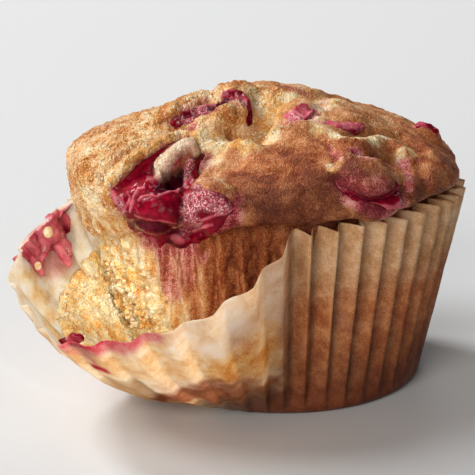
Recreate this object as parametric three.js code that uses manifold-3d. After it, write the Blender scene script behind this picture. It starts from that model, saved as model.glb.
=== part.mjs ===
// Berry muffin in a pleated paper case that is peeled open on its left side.
// Millimetres, +Z up, the flat base of the paper case on z = 0, its axis at the origin.
// The viewer of the photograph stands on the -Y side. A turn is measured in degrees
// from that front towards -X, so the peeled flap lies at turns of 0 to 100.
import * as THREE from 'three';
import { mergeVertices } from 'three/addons/utils/BufferGeometryUtils.js';
import Module from 'manifold-3d';

const wasm = await Module();
wasm.setup();

// Sizes of the paper case
const footRadius = 25;
const footRound = 2.6;
const diskRadius = footRadius - footRound * 0.62;
const slant = 36.6;
const paperThick = 0.4;
const pleatCount = 44;
const pleatFront = 7.5;
const pleatRight = 8.55;
const pleatLeftEnd = 10;
const pleatRightEnd = -12;
const firstPleatTurn = 1.6;
const wallLean = 13;
const wallTuck = 2.4;
const flapLean = 44;
const flapBowl = 20;
const flapFlattening = 0.55;

// Sizes of the cake
const gap = 0.45;
const cakeRidge = 1.3;
const cakeBulge = 6;
const capTop = 52.4;
const capRadius = 31.4;
const capFrontBulge = 1.9;
const capBackBulge = 2.2;
const capLeftOverflow = 7.7;
const capWideHeight = 39.1;
const capLeftRise = 1.7;
const overflowDrop = 11;

const rad = (degrees) => degrees * Math.PI / 180;
const bell = (x, middle, width) => Math.exp(-(((x - middle) / width) ** 2));
const falling = (x, middle, width) => 1 / (1 + Math.exp((x - middle) / width));
const clamp = (x, low, high) => Math.min(high, Math.max(low, x));
const place = (turn, r, z) => new THREE.Vector3(-r * Math.sin(rad(turn)), -r * Math.cos(rad(turn)), z);

// Turns of the pleats: outer folds at even columns, inner folds at odd columns
const pleatPitch = (k) => {
  const backCount = pleatCount - (pleatLeftEnd - pleatRightEnd);
  const leftSpan = pleatFront * pleatLeftEnd - 1.4;
  const backPitch = (360 - leftSpan + pleatRight * pleatRightEnd) / backCount;
  if (k === 0) return pleatFront - 1.4;
  if (k > 0 && k < pleatLeftEnd) return pleatFront;
  if (k < 0 && k >= pleatRightEnd) return pleatRight;
  return backPitch;
};
const foldTurns = [];
for (let k = pleatRightEnd, turn = firstPleatTurn + pleatRight * pleatRightEnd; k < pleatRightEnd + pleatCount; k++) {
  foldTurns.push({ turn, outer: true, pitch: (pleatPitch(k) + pleatPitch(k - 1)) / 2 });
  foldTurns.push({ turn: turn + pleatPitch(k) / 2, outer: false, pitch: pleatPitch(k) });
  turn += pleatPitch(k);
}

// How far the wall is peeled open at a turn, 0 where it still holds the cake
const wrapTurn = (turn) => ((turn + 540) % 360) - 180;
const openness = (turnIn) => {
  const turn = wrapTurn(turnIn);
  if (turn < -3 || turn > 135) return 0;
  const rise = 1 - Math.exp(-Math.max(0, turn + 2) / 15);
  const fall = 0.5 * falling(turn, 76, 3) + 0.5 * falling(turn, 96, 5);
  return rise * fall * (1 - 0.004 * Math.max(0, turn - 50)) + 0.1 * bell(turn, 44, 12);
};
const heldLean = (turn) => wallLean - wallTuck * bell(wrapTurn(turn), -38, 34);
const meanLean = (turn) => heldLean(turn) + flapLean * openness(turn);
const wallLength = (turn) => {
  const pull = 1.8 * bell(wrapTurn(turn), 70, 17);
  return slant + 1.1 * Math.cos(rad(turn + 24)) + 0.25 * Math.sin(rad(turn * 11)) + pull;
};

// Profile of the wall at a turn: radius, height and lean at a distance from the foot
const wallProfile = (turn, distance) => {
  const bowl = flapBowl * openness(turn);
  const steps = 24;
  const step = distance / steps;
  let r = diskRadius;
  let z = 0;
  let lean = 90;
  for (let i = 0; i < steps; i++) {
    const s = (i + 0.5) * step;
    const bend = meanLean(turn) + bowl * (1 - 2 * s / slant);
    lean = bend + (90 - bend) * Math.max(0, 1 - s / footRound) ** 1.2;
    r += step * Math.sin(rad(lean));
    z += step * Math.cos(rad(lean));
  }
  return { r, z, lean: distance > 0 ? lean : 90 };
};

// Depth of a pleat: the flat disc of paper keeps its length round the case
const pleatDepth = (fold, distance, r) => {
  const flatHalf = (diskRadius + distance) * Math.PI / pleatCount;
  const heldHalf = (r - 1) * rad(fold.pitch) / 2;
  const slack = Math.max(0.05, flatHalf ** 2 - heldHalf ** 2);
  const flattened = 1 - flapFlattening * openness(fold.turn);
  return Math.sqrt(slack) * clamp((distance - 0.8) / 3, 0, 1) * flattened;
};
const paperPoint = (fold, distance, inset) => {
  const line = wallProfile(fold.turn, distance);
  const depth = fold.outer ? 0 : pleatDepth(fold, distance, line.r);
  const inward = depth + inset;
  const r = line.r - inward * Math.cos(rad(line.lean));
  const z = line.z + inward * Math.sin(rad(line.lean));
  return place(fold.turn, r, z);
};

// Triangle builder: rings of points joined to one closed solid
const closedSolid = (rings, firstPole, lastPole) => {
  const points = [];
  const faces = [];
  const count = rings[0].length;
  rings.forEach((ring) => ring.forEach((p) => points.push(p.x, p.y, p.z)));
  for (let i = 0; i + 1 < rings.length; i++) {
    for (let j = 0; j < count; j++) {
      const a = i * count + j;
      const b = i * count + (j + 1) % count;
      faces.push(a, a + count, b);
      faces.push(b, a + count, b + count);
    }
  }
  const addPole = (pole, start, flip) => {
    const tip = points.length / 3;
    points.push(pole.x, pole.y, pole.z);
    for (let j = 0; j < count; j++) {
      const a = start + j;
      const b = start + (j + 1) % count;
      faces.push(tip, flip ? b : a, flip ? a : b);
    }
  };
  addPole(firstPole, 0, false);
  addPole(lastPole, (rings.length - 1) * count, true);
  return { points: new Float32Array(points), faces: new Uint32Array(faces) };
};
const solidOf = (shape) => new wasm.Manifold(new wasm.Mesh({
  numProp: 3,
  vertProperties: shape.points,
  triVerts: shape.faces,
}));
const shapeOf = (geometry) => {
  const bare = geometry.clone();
  bare.deleteAttribute('normal');
  bare.deleteAttribute('uv');
  const merged = mergeVertices(bare, 1e-4);
  return { points: new Float32Array(merged.attributes.position.array), faces: new Uint32Array(merged.index.array) };
};
const geometryOf = (solid) => {
  const mesh = solid.getMesh();
  const geometry = new THREE.BufferGeometry();
  geometry.setAttribute('position', new THREE.BufferAttribute(new Float32Array(mesh.vertProperties), 3));
  geometry.setIndex(new THREE.BufferAttribute(new Uint32Array(mesh.triVerts), 1));
  return geometry;
};

// Paper case, and with a margin the space that the pieces on the flap keep clear of
const wallRows = [0, 1.3, 2.6, 5.5, 10.5, 16.5, 23, 30, slant];
const paperShell = (margin, outside = margin) => {
  const row = (s, inset) => foldTurns.map((fold) => {
    const extra = s === slant ? margin : 0;
    return paperPoint(fold, s * wallLength(fold.turn) / slant + extra, inset);
  });
  const rings = wallRows.map((s) => row(s, -outside));
  [...wallRows].reverse().forEach((s) => rings.push(row(s, paperThick + margin)));
  const under = new THREE.Vector3(0, 0, -outside);
  const over = new THREE.Vector3(0, 0, paperThick + margin);
  return solidOf(closedSolid(rings, under, over));
};

// Shape of the cap seen from above: lobes, knobs, valleys and hollows of the crust
const lobes = {
  frontLobe: { x: 4, y: -22, wide: 13, tall: 1.4 },
  leftLobe: { x: -29, y: -5, wide: 11, tall: 0.9 },
  rightLobe: { x: 26, y: -11, wide: 9, tall: 0.9 },
  backLobe: { x: 13, y: 7, wide: 6, tall: -0.7 },
  crownLobe: { x: -2, y: 9, wide: 7, tall: 1.1 },
  backLeftLobe: { x: -9, y: 15, wide: 12, tall: 0.4 },
  ridgeKnob: { x: -11, y: -7, wide: 4.6, tall: 2.4 },
  berryKnob: { x: 13, y: -24.6, wide: 5, tall: 1.7 },
  rightDimple: { x: 20, y: -15.5, wide: 5, tall: -2.3 },
  berryHollow: { x: -22, y: -23, wide: 8.5, tall: -2.2 },
  backDimple: { x: 4, y: 24, wide: 7, tall: -1.6 },
};
const valleys = {
  paleValley: { x: -12.6, y: -18, toX: -4, toY: -10.5, wide: 3, deep: 2.6 },
  paleValleyEnd: { x: -4, y: -10.5, toX: 4, toY: -3, wide: 3.2, deep: 2.2 },
  browCrease: { x: -9, y: -24.5, toX: 6, toY: -22.5, wide: 1.7, deep: 0.7 },
  leftCrack: { x: -31, y: -18.8, toX: -21.5, toY: -11, wide: 1.6, deep: 1.5 },
  backCrack: { x: -22, y: 18, toX: -6, toY: 25, wide: 2, deep: 1.4 },
  rightCrack: { x: 9, y: -10, toX: 21, toY: -8, wide: 2, deep: 1 },
};
const relief = (x, y) => {
  let lift = 0;
  Object.values(lobes).forEach((lobe) => {
    lift += lobe.tall * Math.exp(-(((x - lobe.x) ** 2 + (y - lobe.y) ** 2) / lobe.wide ** 2));
  });
  Object.values(valleys).forEach((cut) => {
    const dx = cut.toX - cut.x;
    const dy = cut.toY - cut.y;
    const along = clamp(((x - cut.x) * dx + (y - cut.y) * dy) / (dx * dx + dy * dy), 0, 1);
    const away = Math.hypot(x - cut.x - along * dx, y - cut.y - along * dy);
    lift -= cut.deep * Math.exp(-((away / cut.wide) ** 2));
  });
  return lift + 0.28 * Math.sin(x * 0.83 + 1.3 * Math.sin(y * 0.41)) * Math.sin(y * 0.77 + 0.6);
};

// Outline of the cake at a turn
const capReach = (turn) => {
  const side = Math.max(0, Math.sin(rad(turn)));
  const front = Math.max(0, Math.cos(rad(turn)));
  const back = Math.max(0, -Math.cos(rad(turn)));
  const wander = 0.35 * Math.sin(rad(5 * turn + 30)) + 0.25 * Math.sin(rad(9 * turn));
  return capRadius + capFrontBulge * front ** 2 + capBackBulge * back + capLeftOverflow * side ** 1.6 + wander;
};
const overflow = (turnIn) => {
  const turn = wrapTurn(turnIn);
  const near = turn < 80 ? bell(turn, 80, 32) : 1;
  return near * falling(turn, 90.5, 2.6);
};
const wallTopHeight = (turn) => {
  const rim = wallLength(turn) * Math.cos(rad(heldLean(turn)));
  return rim + 0.9 - overflowDrop * overflow(turn);
};
const bulgeAt = (turnIn, z) => {
  const turn = wrapTurn(turnIn);
  const reach = turn < 80 ? bell(turn, 80, 38) : 1;
  const free = clamp(openness(turn) / 0.39, 0, 1);
  return cakeBulge * reach * free * (1 - Math.exp(-((z / 11) ** 1.6)));
};
const cakeWall = (fold, z) => {
  const lean = heldLean(fold.turn);
  const distance = z / Math.cos(rad(lean)) + 1;
  const r = diskRadius + footRound * 0.62 + (z - 1.2) * Math.tan(rad(lean));
  const depth = pleatDepth({ turn: 180, pitch: 360 / pleatCount }, distance, r);
  const ridge = fold.outer ? cakeRidge * clamp(z / 12, 0.2, 1) : 0;
  const hold = clamp(z / 3, 0, 1) * 0.6 + 0.4;
  return r - depth - paperThick - gap * hold + ridge + bulgeAt(fold.turn, z) - 0.5 * (1 - hold);
};
const domeSlope = 0.53;
const domeHeight = (q, turn) => {
  const full = 0.85 * Math.max(0, Math.cos(rad(turn)));
  const soft = (Math.sqrt(q * q + 0.03) - Math.sqrt(0.03)) / (Math.sqrt(1.03) - Math.sqrt(0.03));
  return Math.max(0, 1 - q ** 2.34) ** (0.66 - 0.24 * full) * (1 - (domeSlope - 0.2 * full) * soft);
};
const wideHeight = (turn) => capWideHeight + capLeftRise * Math.max(0, Math.sin(rad(turn))) ** 2;
const capPoint = (fold, q) => {
  const reach = capReach(fold.turn) * q;
  const flat = place(fold.turn, reach, 0);
  const fade = clamp((1 - q) / 0.08, 0, 1);
  const wide = wideHeight(fold.turn);
  const z = wide + (capTop - wide) * domeHeight(q, fold.turn) + relief(flat.x, flat.y) * fade;
  return new THREE.Vector3(flat.x, flat.y, z);
};

// Cake from its base to the top of the cap, and with a margin the space kept clear of it
const cakeFloor = paperThick + 0.35;
const footInset = 2.6;
const sideRows = 7;
const underRows = 3;
const capRows = 14;
const cakeSolid = (margin) => {
  const rings = [];
  const ring = (r, z) => rings.push(foldTurns.map((fold) => place(fold.turn, r(fold) + margin, z(fold))));
  ring((fold) => cakeWall(fold, 2.4) - footInset, () => cakeFloor);
  ring((fold) => cakeWall(fold, 2.4) - 0.6, () => cakeFloor + 0.7);
  for (let i = 0; i <= sideRows; i++) {
    const height = (fold) => 2.6 + (wallTopHeight(fold.turn) - 2.6) * i / sideRows;
    ring((fold) => cakeWall(fold, height(fold)), height);
  }
  for (let i = 1; i <= underRows; i++) {
    const sweep = rad(90 * i / underRows);
    const reach = (fold) => {
      const start = cakeWall(fold, wallTopHeight(fold.turn));
      return start + (capReach(fold.turn) - start) * Math.sin(sweep);
    };
    const height = (fold) => {
      const top = wallTopHeight(fold.turn);
      return top + (wideHeight(fold.turn) - top) * (1 - Math.cos(sweep));
    };
    ring(reach, height);
  }
  for (let i = 1; i < capRows; i++) {
    const q = Math.cos(rad(90 * i / capRows)) ** 0.8;
    rings.push(foldTurns.map((fold) => capPoint(fold, q)));
  }
  const foot = new THREE.Vector3(0, 0, cakeFloor);
  const peak = new THREE.Vector3(0, 0, capTop + relief(0, 0));
  return solidOf(closedSolid(rings, foot, peak));
};
const heightOn = (x, y) => {
  const turn = Math.atan2(-x, -y) * 180 / Math.PI;
  return capPoint({ turn }, Math.hypot(x, y) / capReach(turn)).z;
};
let cake = cakeSolid(0);

// Berries: wrinkled ellipsoids, sunk in pockets of the crust
const berryGap = 0.42;
const wrinkled = (spec, grow) => {
  const geometry = new THREE.IcosahedronGeometry(1, spec.detail ?? 3);
  const position = geometry.attributes.position;
  const turnBy = new THREE.Euler(rad(spec.pitch ?? 0), rad(spec.roll ?? 0), rad(spec.yaw ?? 0), 'ZYX');
  const p = new THREE.Vector3();
  for (let i = 0; i < position.count; i++) {
    p.fromBufferAttribute(position, i);
    const fold = Math.sin(p.x * 4 + spec.seed) * Math.sin(p.y * 5 + 2 * spec.seed) + 0.5 * Math.sin(p.z * 7 + spec.seed);
    const swell = 1 + (spec.wrinkle ?? 0.06) * fold;
    p.set(p.x * swell * spec.long + p.x * grow, p.y * swell * spec.broad + p.y * grow, p.z * swell * spec.thick + p.z * grow);
    p.applyEuler(turnBy);
    p.add(new THREE.Vector3(spec.at[0], spec.at[1], spec.at[2] ?? heightOn(spec.at[0], spec.at[1]) - spec.sink));
    position.setXYZ(i, p.x, p.y, p.z);
  }
  return geometry;
};
const capBerries = {
  berry_front: { at: [-23.2, -25.6, 39.6], long: 6.7, broad: 4, thick: 4.1, yaw: -38, pitch: 0, roll: 4, seed: 1.1, wrinkle: 0.09 },
  berry_front_skin: { at: [-25, -16.4], sink: 0, long: 8, broad: 2, thick: 2.1, yaw: 24, roll: -21, seed: 2.3, detail: 2 },
  berry_front_pulp: { at: [-12.8, -29.8, 40.4], long: 4.1, broad: 3.4, thick: 4.6, yaw: -24, seed: 3.7, wrinkle: 0.08 },
  berry_crest_left: { at: [-18.4, -4.4], sink: 0.7, long: 6.8, broad: 3, thick: 2.6, yaw: 44, roll: -9, seed: 4.2 },
  berry_crest_right: { at: [-8.6, -0.4], sink: 0.5, long: 3.6, broad: 4.4, thick: 2.5, yaw: 20, seed: 5.9 },
  berry_middle: { at: [2.2, -6.2], sink: 0.3, long: 3.3, broad: 2.7, thick: 2.2, yaw: 30, seed: 6.4, detail: 2 },
  berry_streak: { at: [10.8, -8.8], sink: 0.3, long: 3.6, broad: 1.6, thick: 1.6, yaw: 10, roll: 8, seed: 7.7, detail: 2 },
  berry_right: { at: [14.2, -27, 40.6], long: 5.7, broad: 3.2, thick: 2.7, yaw: 28, roll: 6, seed: 8.1 },
  berry_edge: { at: [26, 5], sink: 0.6, long: 2.6, broad: 3, thick: 1.7, yaw: -16, roll: 34, seed: 9.5, detail: 2 },
};
const berryRed = new THREE.MeshStandardMaterial({ color: 0x7c1430, roughness: 0.3 });
const crustGold = new THREE.MeshStandardMaterial({ color: 0xc4894b, roughness: 0.85 });
const paperCream = new THREE.MeshStandardMaterial({ color: 0xe6d3b0, roughness: 0.75, side: THREE.DoubleSide });
const crumbPale = new THREE.MeshStandardMaterial({ color: 0xe9c87e, roughness: 0.95 });

// Tongue of dough that lies over the burst berry
const doughTongue = { at: [-18.2, -19.6], sink: 0.2, long: 4.2, broad: 1.9, thick: 2, yaw: 32, roll: -26, seed: 0.4, detail: 2 };
cake = cake.add(solidOf(shapeOf(wrinkled(doughTongue, 0))));

// Crumb that came away with the paper and lies on the inside of the flap
const crumbFrom = 34;
const crumbTo = 92;
const crumbFolds = foldTurns.filter((fold) => fold.turn > crumbFrom && fold.turn < crumbTo);
const crumbRows = [5.5, 8.5, 12, 15.5, 19, 22.5, 26];
const crumbDepth = (i, j) => {
  const across = Math.sin(Math.PI * (i + 0.4) / (crumbFolds.length - 0.2));
  const up = 1 - 0.75 * (j / (crumbRows.length - 1)) ** 1.5;
  return 0.5 + 2.1 * Math.max(0, across) ** 0.7 * up + 0.35 * Math.sin(i * 2.3 + j * 1.9);
};
const crumbPoint = (i, j, lifted) => {
  const fold = crumbFolds[i];
  const line = wallProfile(fold.turn, crumbRows[j]);
  const pleat = pleatDepth(fold, crumbRows[j], line.r);
  const floorLift = (fold.outer ? pleat * 0.75 : pleat) + paperThick + gap + 0.15;
  const inward = floorLift + (lifted ? Math.max(0.45, crumbDepth(i, j)) : 0);
  return place(fold.turn, line.r - inward * Math.cos(rad(line.lean)), line.z + inward * Math.sin(rad(line.lean)));
};
const crumbShape = () => {
  const points = [];
  const faces = [];
  const wide = crumbFolds.length;
  const tall = crumbRows.length;
  [false, true].forEach((lifted) => {
    for (let j = 0; j < tall; j++) {
      for (let i = 0; i < wide; i++) points.push(...crumbPoint(i, j, lifted).toArray());
    }
  });
  const lift = wide * tall;
  const quad = (a, b, c, d) => faces.push(a, c, b, a, d, c);
  for (let j = 0; j + 1 < tall; j++) {
    for (let i = 0; i + 1 < wide; i++) {
      const a = j * wide + i;
      quad(a, a + 1, a + 1 + wide, a + wide);
      quad(lift + a, lift + a + wide, lift + a + 1 + wide, lift + a + 1);
    }
  }
  for (let i = 0; i + 1 < wide; i++) {
    const far = (tall - 1) * wide + i;
    quad(i, i + lift, i + 1 + lift, i + 1);
    quad(far, far + 1, far + 1 + lift, far + lift);
  }
  for (let j = 0; j + 1 < tall; j++) {
    const a = j * wide;
    const b = j * wide + wide - 1;
    quad(a, a + wide, a + wide + lift, a + lift);
    quad(b, b + lift, b + lift + wide, b + wide);
  }
  return { points: new Float32Array(points), faces: new Uint32Array(faces) };
};

// Berry pieces that stay on the flap
const flapBerry = (name, turn, distance, spec) => {
  const line = wallProfile(turn, distance);
  const lift = pleatDepth({ turn, pitch: pleatFront }, distance, line.r) + paperThick + spec.thick * spec.raised;
  const r = line.r - lift * Math.cos(rad(line.lean));
  const z = line.z + lift * Math.sin(rad(line.lean));
  const at = place(turn, r, z).toArray();
  const geometry = wrinkled({ ...spec, at: [0, 0, 0] }, 0);
  geometry.rotateX(rad(90 - line.lean));
  geometry.rotateZ(rad(-turn));
  geometry.translate(...at);
  return { name, geometry };
};

const part = new THREE.Group();
part.name = 'berry_muffin';
const add = (name, geometry, material) => {
  geometry.computeVertexNormals();
  const mesh = new THREE.Mesh(geometry, material);
  mesh.name = name;
  part.add(mesh);
};

Object.values(capBerries).forEach((spec) => {
  cake = cake.subtract(solidOf(shapeOf(wrinkled(spec, berryGap))));
});
add('paper_case', geometryOf(paperShell(0)), paperCream);
add('muffin', geometryOf(cake), crustGold);
Object.entries(capBerries).forEach(([name, spec]) => {
  add(name, geometryOf(solidOf(shapeOf(wrinkled(spec, 0)))), berryRed);
});
const cakeClear = cakeSolid(0.4);
add('stuck_crumb', geometryOf(solidOf(crumbShape()).subtract(cakeClear)), crumbPale);
const keepClear = paperShell(0.5, 7);
const flapPieces = [
  flapBerry('berry_flap_back', 77.5, 34, { long: 5.4, broad: 4.8, thick: 1.6, raised: 0.35, seed: 1.7, wrinkle: 0.08, detail: 2 }),
  flapBerry('berry_flap_front', 43, 36.8, { long: 2.4, broad: 1.6, thick: 1.2, raised: 0.35, seed: 2.9, wrinkle: 0.08, detail: 2 }),
];
flapPieces.forEach((piece) => {
  const whole = solidOf(shapeOf(piece.geometry)).subtract(keepClear).subtract(cakeClear);
  add(piece.name, geometryOf(whole), berryRed);
});

export default part;
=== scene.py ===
"""Looks of a berry muffin in its peeled paper case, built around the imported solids.
Metres, +Z up. A turn is measured in degrees from the front (-Y) towards the left (-X)."""
import math
import random

import bpy
import numpy as np
from mathutils import Euler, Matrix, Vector, noise
from mathutils.bvhtree import BVHTree


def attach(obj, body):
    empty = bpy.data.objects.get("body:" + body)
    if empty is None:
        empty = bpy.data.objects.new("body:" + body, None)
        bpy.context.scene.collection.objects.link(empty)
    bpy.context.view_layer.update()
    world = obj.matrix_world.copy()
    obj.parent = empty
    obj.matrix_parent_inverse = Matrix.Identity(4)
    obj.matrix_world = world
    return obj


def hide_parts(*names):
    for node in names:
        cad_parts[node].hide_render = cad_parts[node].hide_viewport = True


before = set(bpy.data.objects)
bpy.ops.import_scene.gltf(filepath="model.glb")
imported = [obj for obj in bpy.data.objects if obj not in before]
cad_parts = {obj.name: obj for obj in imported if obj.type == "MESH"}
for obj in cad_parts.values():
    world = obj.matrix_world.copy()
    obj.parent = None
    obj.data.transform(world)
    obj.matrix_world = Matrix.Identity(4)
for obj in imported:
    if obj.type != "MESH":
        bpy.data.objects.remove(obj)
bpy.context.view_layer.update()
random.seed(7)

MM = 0.001
PICTURE = 475
EYE = Vector((-8.664, -426.746, 167.614)) * MM
AIM = Vector((-8.664, 0.0, 24.827)) * MM
LENS = 186.42
SENSOR = 36.0

CAKE_VOXEL = 0.46 * MM
BERRY_VOXEL = 0.24 * MM
CRUMB_VOXEL = 0.36 * MM
PAPER_THICK = 0.14 * MM
LONGEST_STEP = 14 * MM
BERRY_SINK = 3.6
BERRY_REACH = 10
SKIN_STEP = 0.8
SKIN_FOLDS = 1.5
FLAP_LIGHT_AWAY = 0.8


# Small helpers

def srgb(r, g, b):
    """Linear colour of an 8-bit screen colour."""
    def line(c):
        c = c / 255
        return c / 12.92 if c <= 0.04045 else ((c + 0.055) / 1.055) ** 2.4
    return (line(r), line(g), line(b), 1.0)


def smooth_step(x, low, high):
    t = np.clip((x - low) / (high - low), 0, 1)
    return t * t * (3 - 2 * t)


def bell(x, middle, width):
    return np.exp(-((x - middle) / width) ** 2)


def falling(x, middle, width):
    return 1 / (1 + np.exp((x - middle) / width))


def camera_axes():
    """Forward, right and up of the camera, and its focal length in picture points."""
    forward = (AIM - EYE).normalized()
    right = forward.cross(Vector((0, 0, 1))).normalized()
    return forward, right, right.cross(forward), LENS / SENSOR * PICTURE


def picture_ray(px, py):
    """Direction from the eye through a point of the photograph."""
    forward, right, up, focal = camera_axes()
    half = PICTURE / 2
    return (forward * focal + right * (px - half) - up * (py - half)).normalized()


def vertices_of(piece):
    points = np.empty(len(piece.data.vertices) * 3)
    piece.data.vertices.foreach_get("co", points)
    return points.reshape(-1, 3)


def normals_of(piece):
    normals = np.empty(len(piece.data.vertices) * 3)
    piece.data.vertex_normals.foreach_get("vector", normals)
    return normals.reshape(-1, 3)


def move_vertices(piece, points):
    piece.data.vertices.foreach_set("co", points.ravel())
    piece.data.update()


def paint(piece, name, values):
    """Stores one number for each vertex, for the material to read."""
    layer = piece.data.attributes.new(name, "FLOAT", "POINT")
    layer.data.foreach_set("value", np.asarray(values, np.float32))


def grain(points, size, seed=0, octaves=3):
    """Soft noise of about -1 to 1, its largest lumps about size millimetres."""
    shift = Vector((seed * 17.31, seed * 5.17, seed * 9.73))
    scaled = points / (size * MM)
    return np.array([noise.fractal(Vector(p) + shift, 1.0, 2.0, octaves) for p in scaled])


def cells(points, size, seed=0):
    """Distance to the nearest of scattered points, 0 at the point and about 1 between them."""
    shift = Vector((seed * 3.1, seed * 7.7, seed * 11.3))
    scaled = points / (size * MM)
    return np.array([noise.voronoi(Vector(p) + shift)[0][0] for p in scaled])


def picture_points(points):
    """Where points lie in the photograph."""
    forward, right, up, focal = camera_axes()
    seen = points - np.array(EYE)
    depth = seen @ np.array(forward)
    px = PICTURE / 2 + focal * (seen @ np.array(right)) / depth
    py = PICTURE / 2 - focal * (seen @ np.array(up)) / depth
    return px, py


def from_line(px, py, line):
    """Distance in picture points from a line of the photograph."""
    best = np.full(px.shape, 1e9)
    for (ax, ay), (bx, by) in zip(line[:-1] or line, line[1:] or line):
        length = max((bx - ax) ** 2 + (by - ay) ** 2, 1e-9)
        t = np.clip(((px - ax) * (bx - ax) + (py - ay) * (by - ay)) / length, 0, 1)
        best = np.minimum(best, np.hypot(px - ax - t * (bx - ax), py - ay - t * (by - ay)))
    return best


def inside_of(px, py, outline):
    """Distance in picture points from an outline of the photograph, positive inside it."""
    closed = outline + outline[:1]
    inside = np.zeros(px.shape, bool)
    for (ax, ay), (bx, by) in zip(closed[:-1], closed[1:]):
        if ay != by:
            inside ^= ((ay > py) != (by > py)) & (px < (bx - ax) * (py - ay) / (by - ay) + ax)
    away = from_line(px, py, closed)
    return np.where(inside, away, -away)


def away_from(points, line):
    """Distance in millimetres of each point from a line of points, without its jumps across a gap."""
    best = np.full(len(points), 1e9)
    stops = [np.array(stop) for stop in line]
    if len(stops) == 1:
        return np.linalg.norm(points - stops[0], axis=1) / MM
    for start, end in zip(stops[:-1], stops[1:]):
        along = end - start
        if np.linalg.norm(along) > LONGEST_STEP:
            continue
        t = np.clip((points - start) @ along / max(along @ along, 1e-12), 0, 1)
        best = np.minimum(best, np.linalg.norm(points - start - t[:, None] * along, axis=1))
    return best / MM


# Objects and operators

def only(piece):
    bpy.ops.object.select_all(action="DESELECT")
    piece.select_set(True)
    bpy.context.view_layer.objects.active = piece


def apply_modifier(piece, kind, **settings):
    only(piece)
    modifier = piece.modifiers.new(kind.title(), kind)
    for key, value in settings.items():
        setattr(modifier, key, value)
    bpy.ops.object.modifier_apply(modifier=modifier.name)


def copy_of_node(node, name):
    """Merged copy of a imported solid."""
    piece = bpy.data.objects.new(name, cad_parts[node].data.copy())
    bpy.context.collection.objects.link(piece)
    piece.data.materials.clear()
    only(piece)
    bpy.ops.object.mode_set(mode="EDIT")
    bpy.ops.mesh.select_all(action="SELECT")
    bpy.ops.mesh.remove_doubles(threshold=1e-6)
    bpy.ops.mesh.customdata_custom_splitnormals_clear()
    bpy.ops.mesh.faces_shade_smooth()
    bpy.ops.object.mode_set(mode="OBJECT")
    return piece


def join(name, pieces):
    bpy.ops.object.select_all(action="DESELECT")
    for piece in pieces:
        piece.select_set(True)
    bpy.context.view_layer.objects.active = pieces[0]
    bpy.ops.object.join()
    joined = bpy.context.object
    joined.name = name
    bpy.ops.object.transform_apply(location=True, rotation=True, scale=True)
    return joined


def tree_of(*pieces):
    """Search tree over the faces of several meshes."""
    corners, faces = [], []
    for piece in pieces:
        start = len(corners)
        corners.extend(v.co.copy() for v in piece.data.vertices)
        faces.extend([start + i for i in p.vertices] for p in piece.data.polygons)
    return BVHTree.FromPolygons(corners, faces)


def spot(tree, px, py):
    """Place and normal where the view through a point of the photograph meets a surface."""
    ray = picture_ray(px, py)
    hit, normal, _, _ = tree.ray_cast(EYE, ray)
    if hit is None:
        near = EYE + ray * (AIM - EYE).length
        hit, normal, _, _ = tree.find_nearest(near)
    return hit, normal


def line_on(tree, picture_points, lift=0.0):
    line = []
    for px, py in picture_points:
        place, normal = spot(tree, px, py)
        line.append(place + normal * lift * MM)
    return line


def finish_piece(piece, material, slot, *nodes):
    piece.data.materials.clear()
    piece.data.materials.append(material)
    for face in piece.data.polygons:
        face.use_smooth = True
    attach(piece, "root")
    if nodes:
        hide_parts(*nodes)


# Camera, floor and light

def add_camera():
    turn = (AIM - EYE).to_track_quat("-Z", "Y").to_euler()
    bpy.ops.object.camera_add(location=EYE, rotation=turn)
    camera = bpy.context.object
    camera.data.lens = LENS
    camera.data.sensor_width = SENSOR
    camera.data.clip_start = 0.01
    camera.data.clip_end = 50
    bpy.context.scene.camera = camera


def add_floor():
    bpy.ops.mesh.primitive_plane_add(size=8, location=(0, 0, 0))
    floor = bpy.context.object
    floor.name = "floor"
    material, _, shader = new_material("pale_floor")
    shader.inputs["Base Color"].default_value = srgb(217, 219, 221)
    shader.inputs["Roughness"].default_value = 0.6
    shader.inputs["Specular IOR Level"].default_value = 0.12
    floor.data.materials.append(material)


def add_area_light(name, direction, distance, size, power, colour):
    place = Vector(direction).normalized() * distance
    turn = (-place).to_track_quat("-Z", "Y").to_euler()
    bpy.ops.object.light_add(type="AREA", location=place, rotation=turn)
    light = bpy.context.object
    light.name = name
    light.data.shape = "DISK"
    light.data.size = size
    light.data.energy = power
    light.data.color = colour


def add_flap_light():
    """Narrow light into the bowl of the peeled paper."""
    target = Vector((-33, -13, 18)) * MM
    away = Vector((0.22, -0.86, 0.5)).normalized()
    turn = (-away).to_track_quat("-Z", "Y").to_euler()
    bpy.ops.object.light_add(type="SPOT", location=target + away * FLAP_LIGHT_AWAY, rotation=turn)
    light = bpy.context.object
    light.name = "flap_light"
    light.data.spot_size = math.radians(2.2)
    light.data.spot_blend = 1.0
    light.data.shadow_soft_size = 0.01
    light.data.energy = 20.0
    light.data.color = (1.0, 0.97, 0.92)


def add_light():
    add_area_light("window", (-0.56, 0.50, 0.72), 2.4, 0.56, 35.0, (1.0, 0.99, 0.97))
    add_area_light("left_window", (-1.0, 0.02, 1.05), 3.0, 1.4, 42.0, (1.0, 0.99, 0.98))
    add_area_light("soft_back", (0.08, 1.0, 0.67), 1.2, 0.5, 1.1, (1.0, 0.99, 0.98))
    add_area_light("soft_front", (-0.38, -0.92, 0.46), 2.4, 1.5, 32.0, (1.0, 0.955, 0.90))
    add_flap_light()
    world = bpy.data.worlds.new("studio")
    bpy.context.scene.world = world
    world.use_nodes = True
    world.node_tree.nodes["Background"].inputs["Color"].default_value = (1.0, 0.985, 0.965, 1)
    world.node_tree.nodes["Background"].inputs["Strength"].default_value = 0.12
    bpy.context.scene.view_settings.view_transform = "Standard"


# Materials

def new_material(name):
    material = bpy.data.materials.new(name)
    material.use_nodes = True
    return material, material.node_tree, material.node_tree.nodes["Principled BSDF"]


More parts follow.
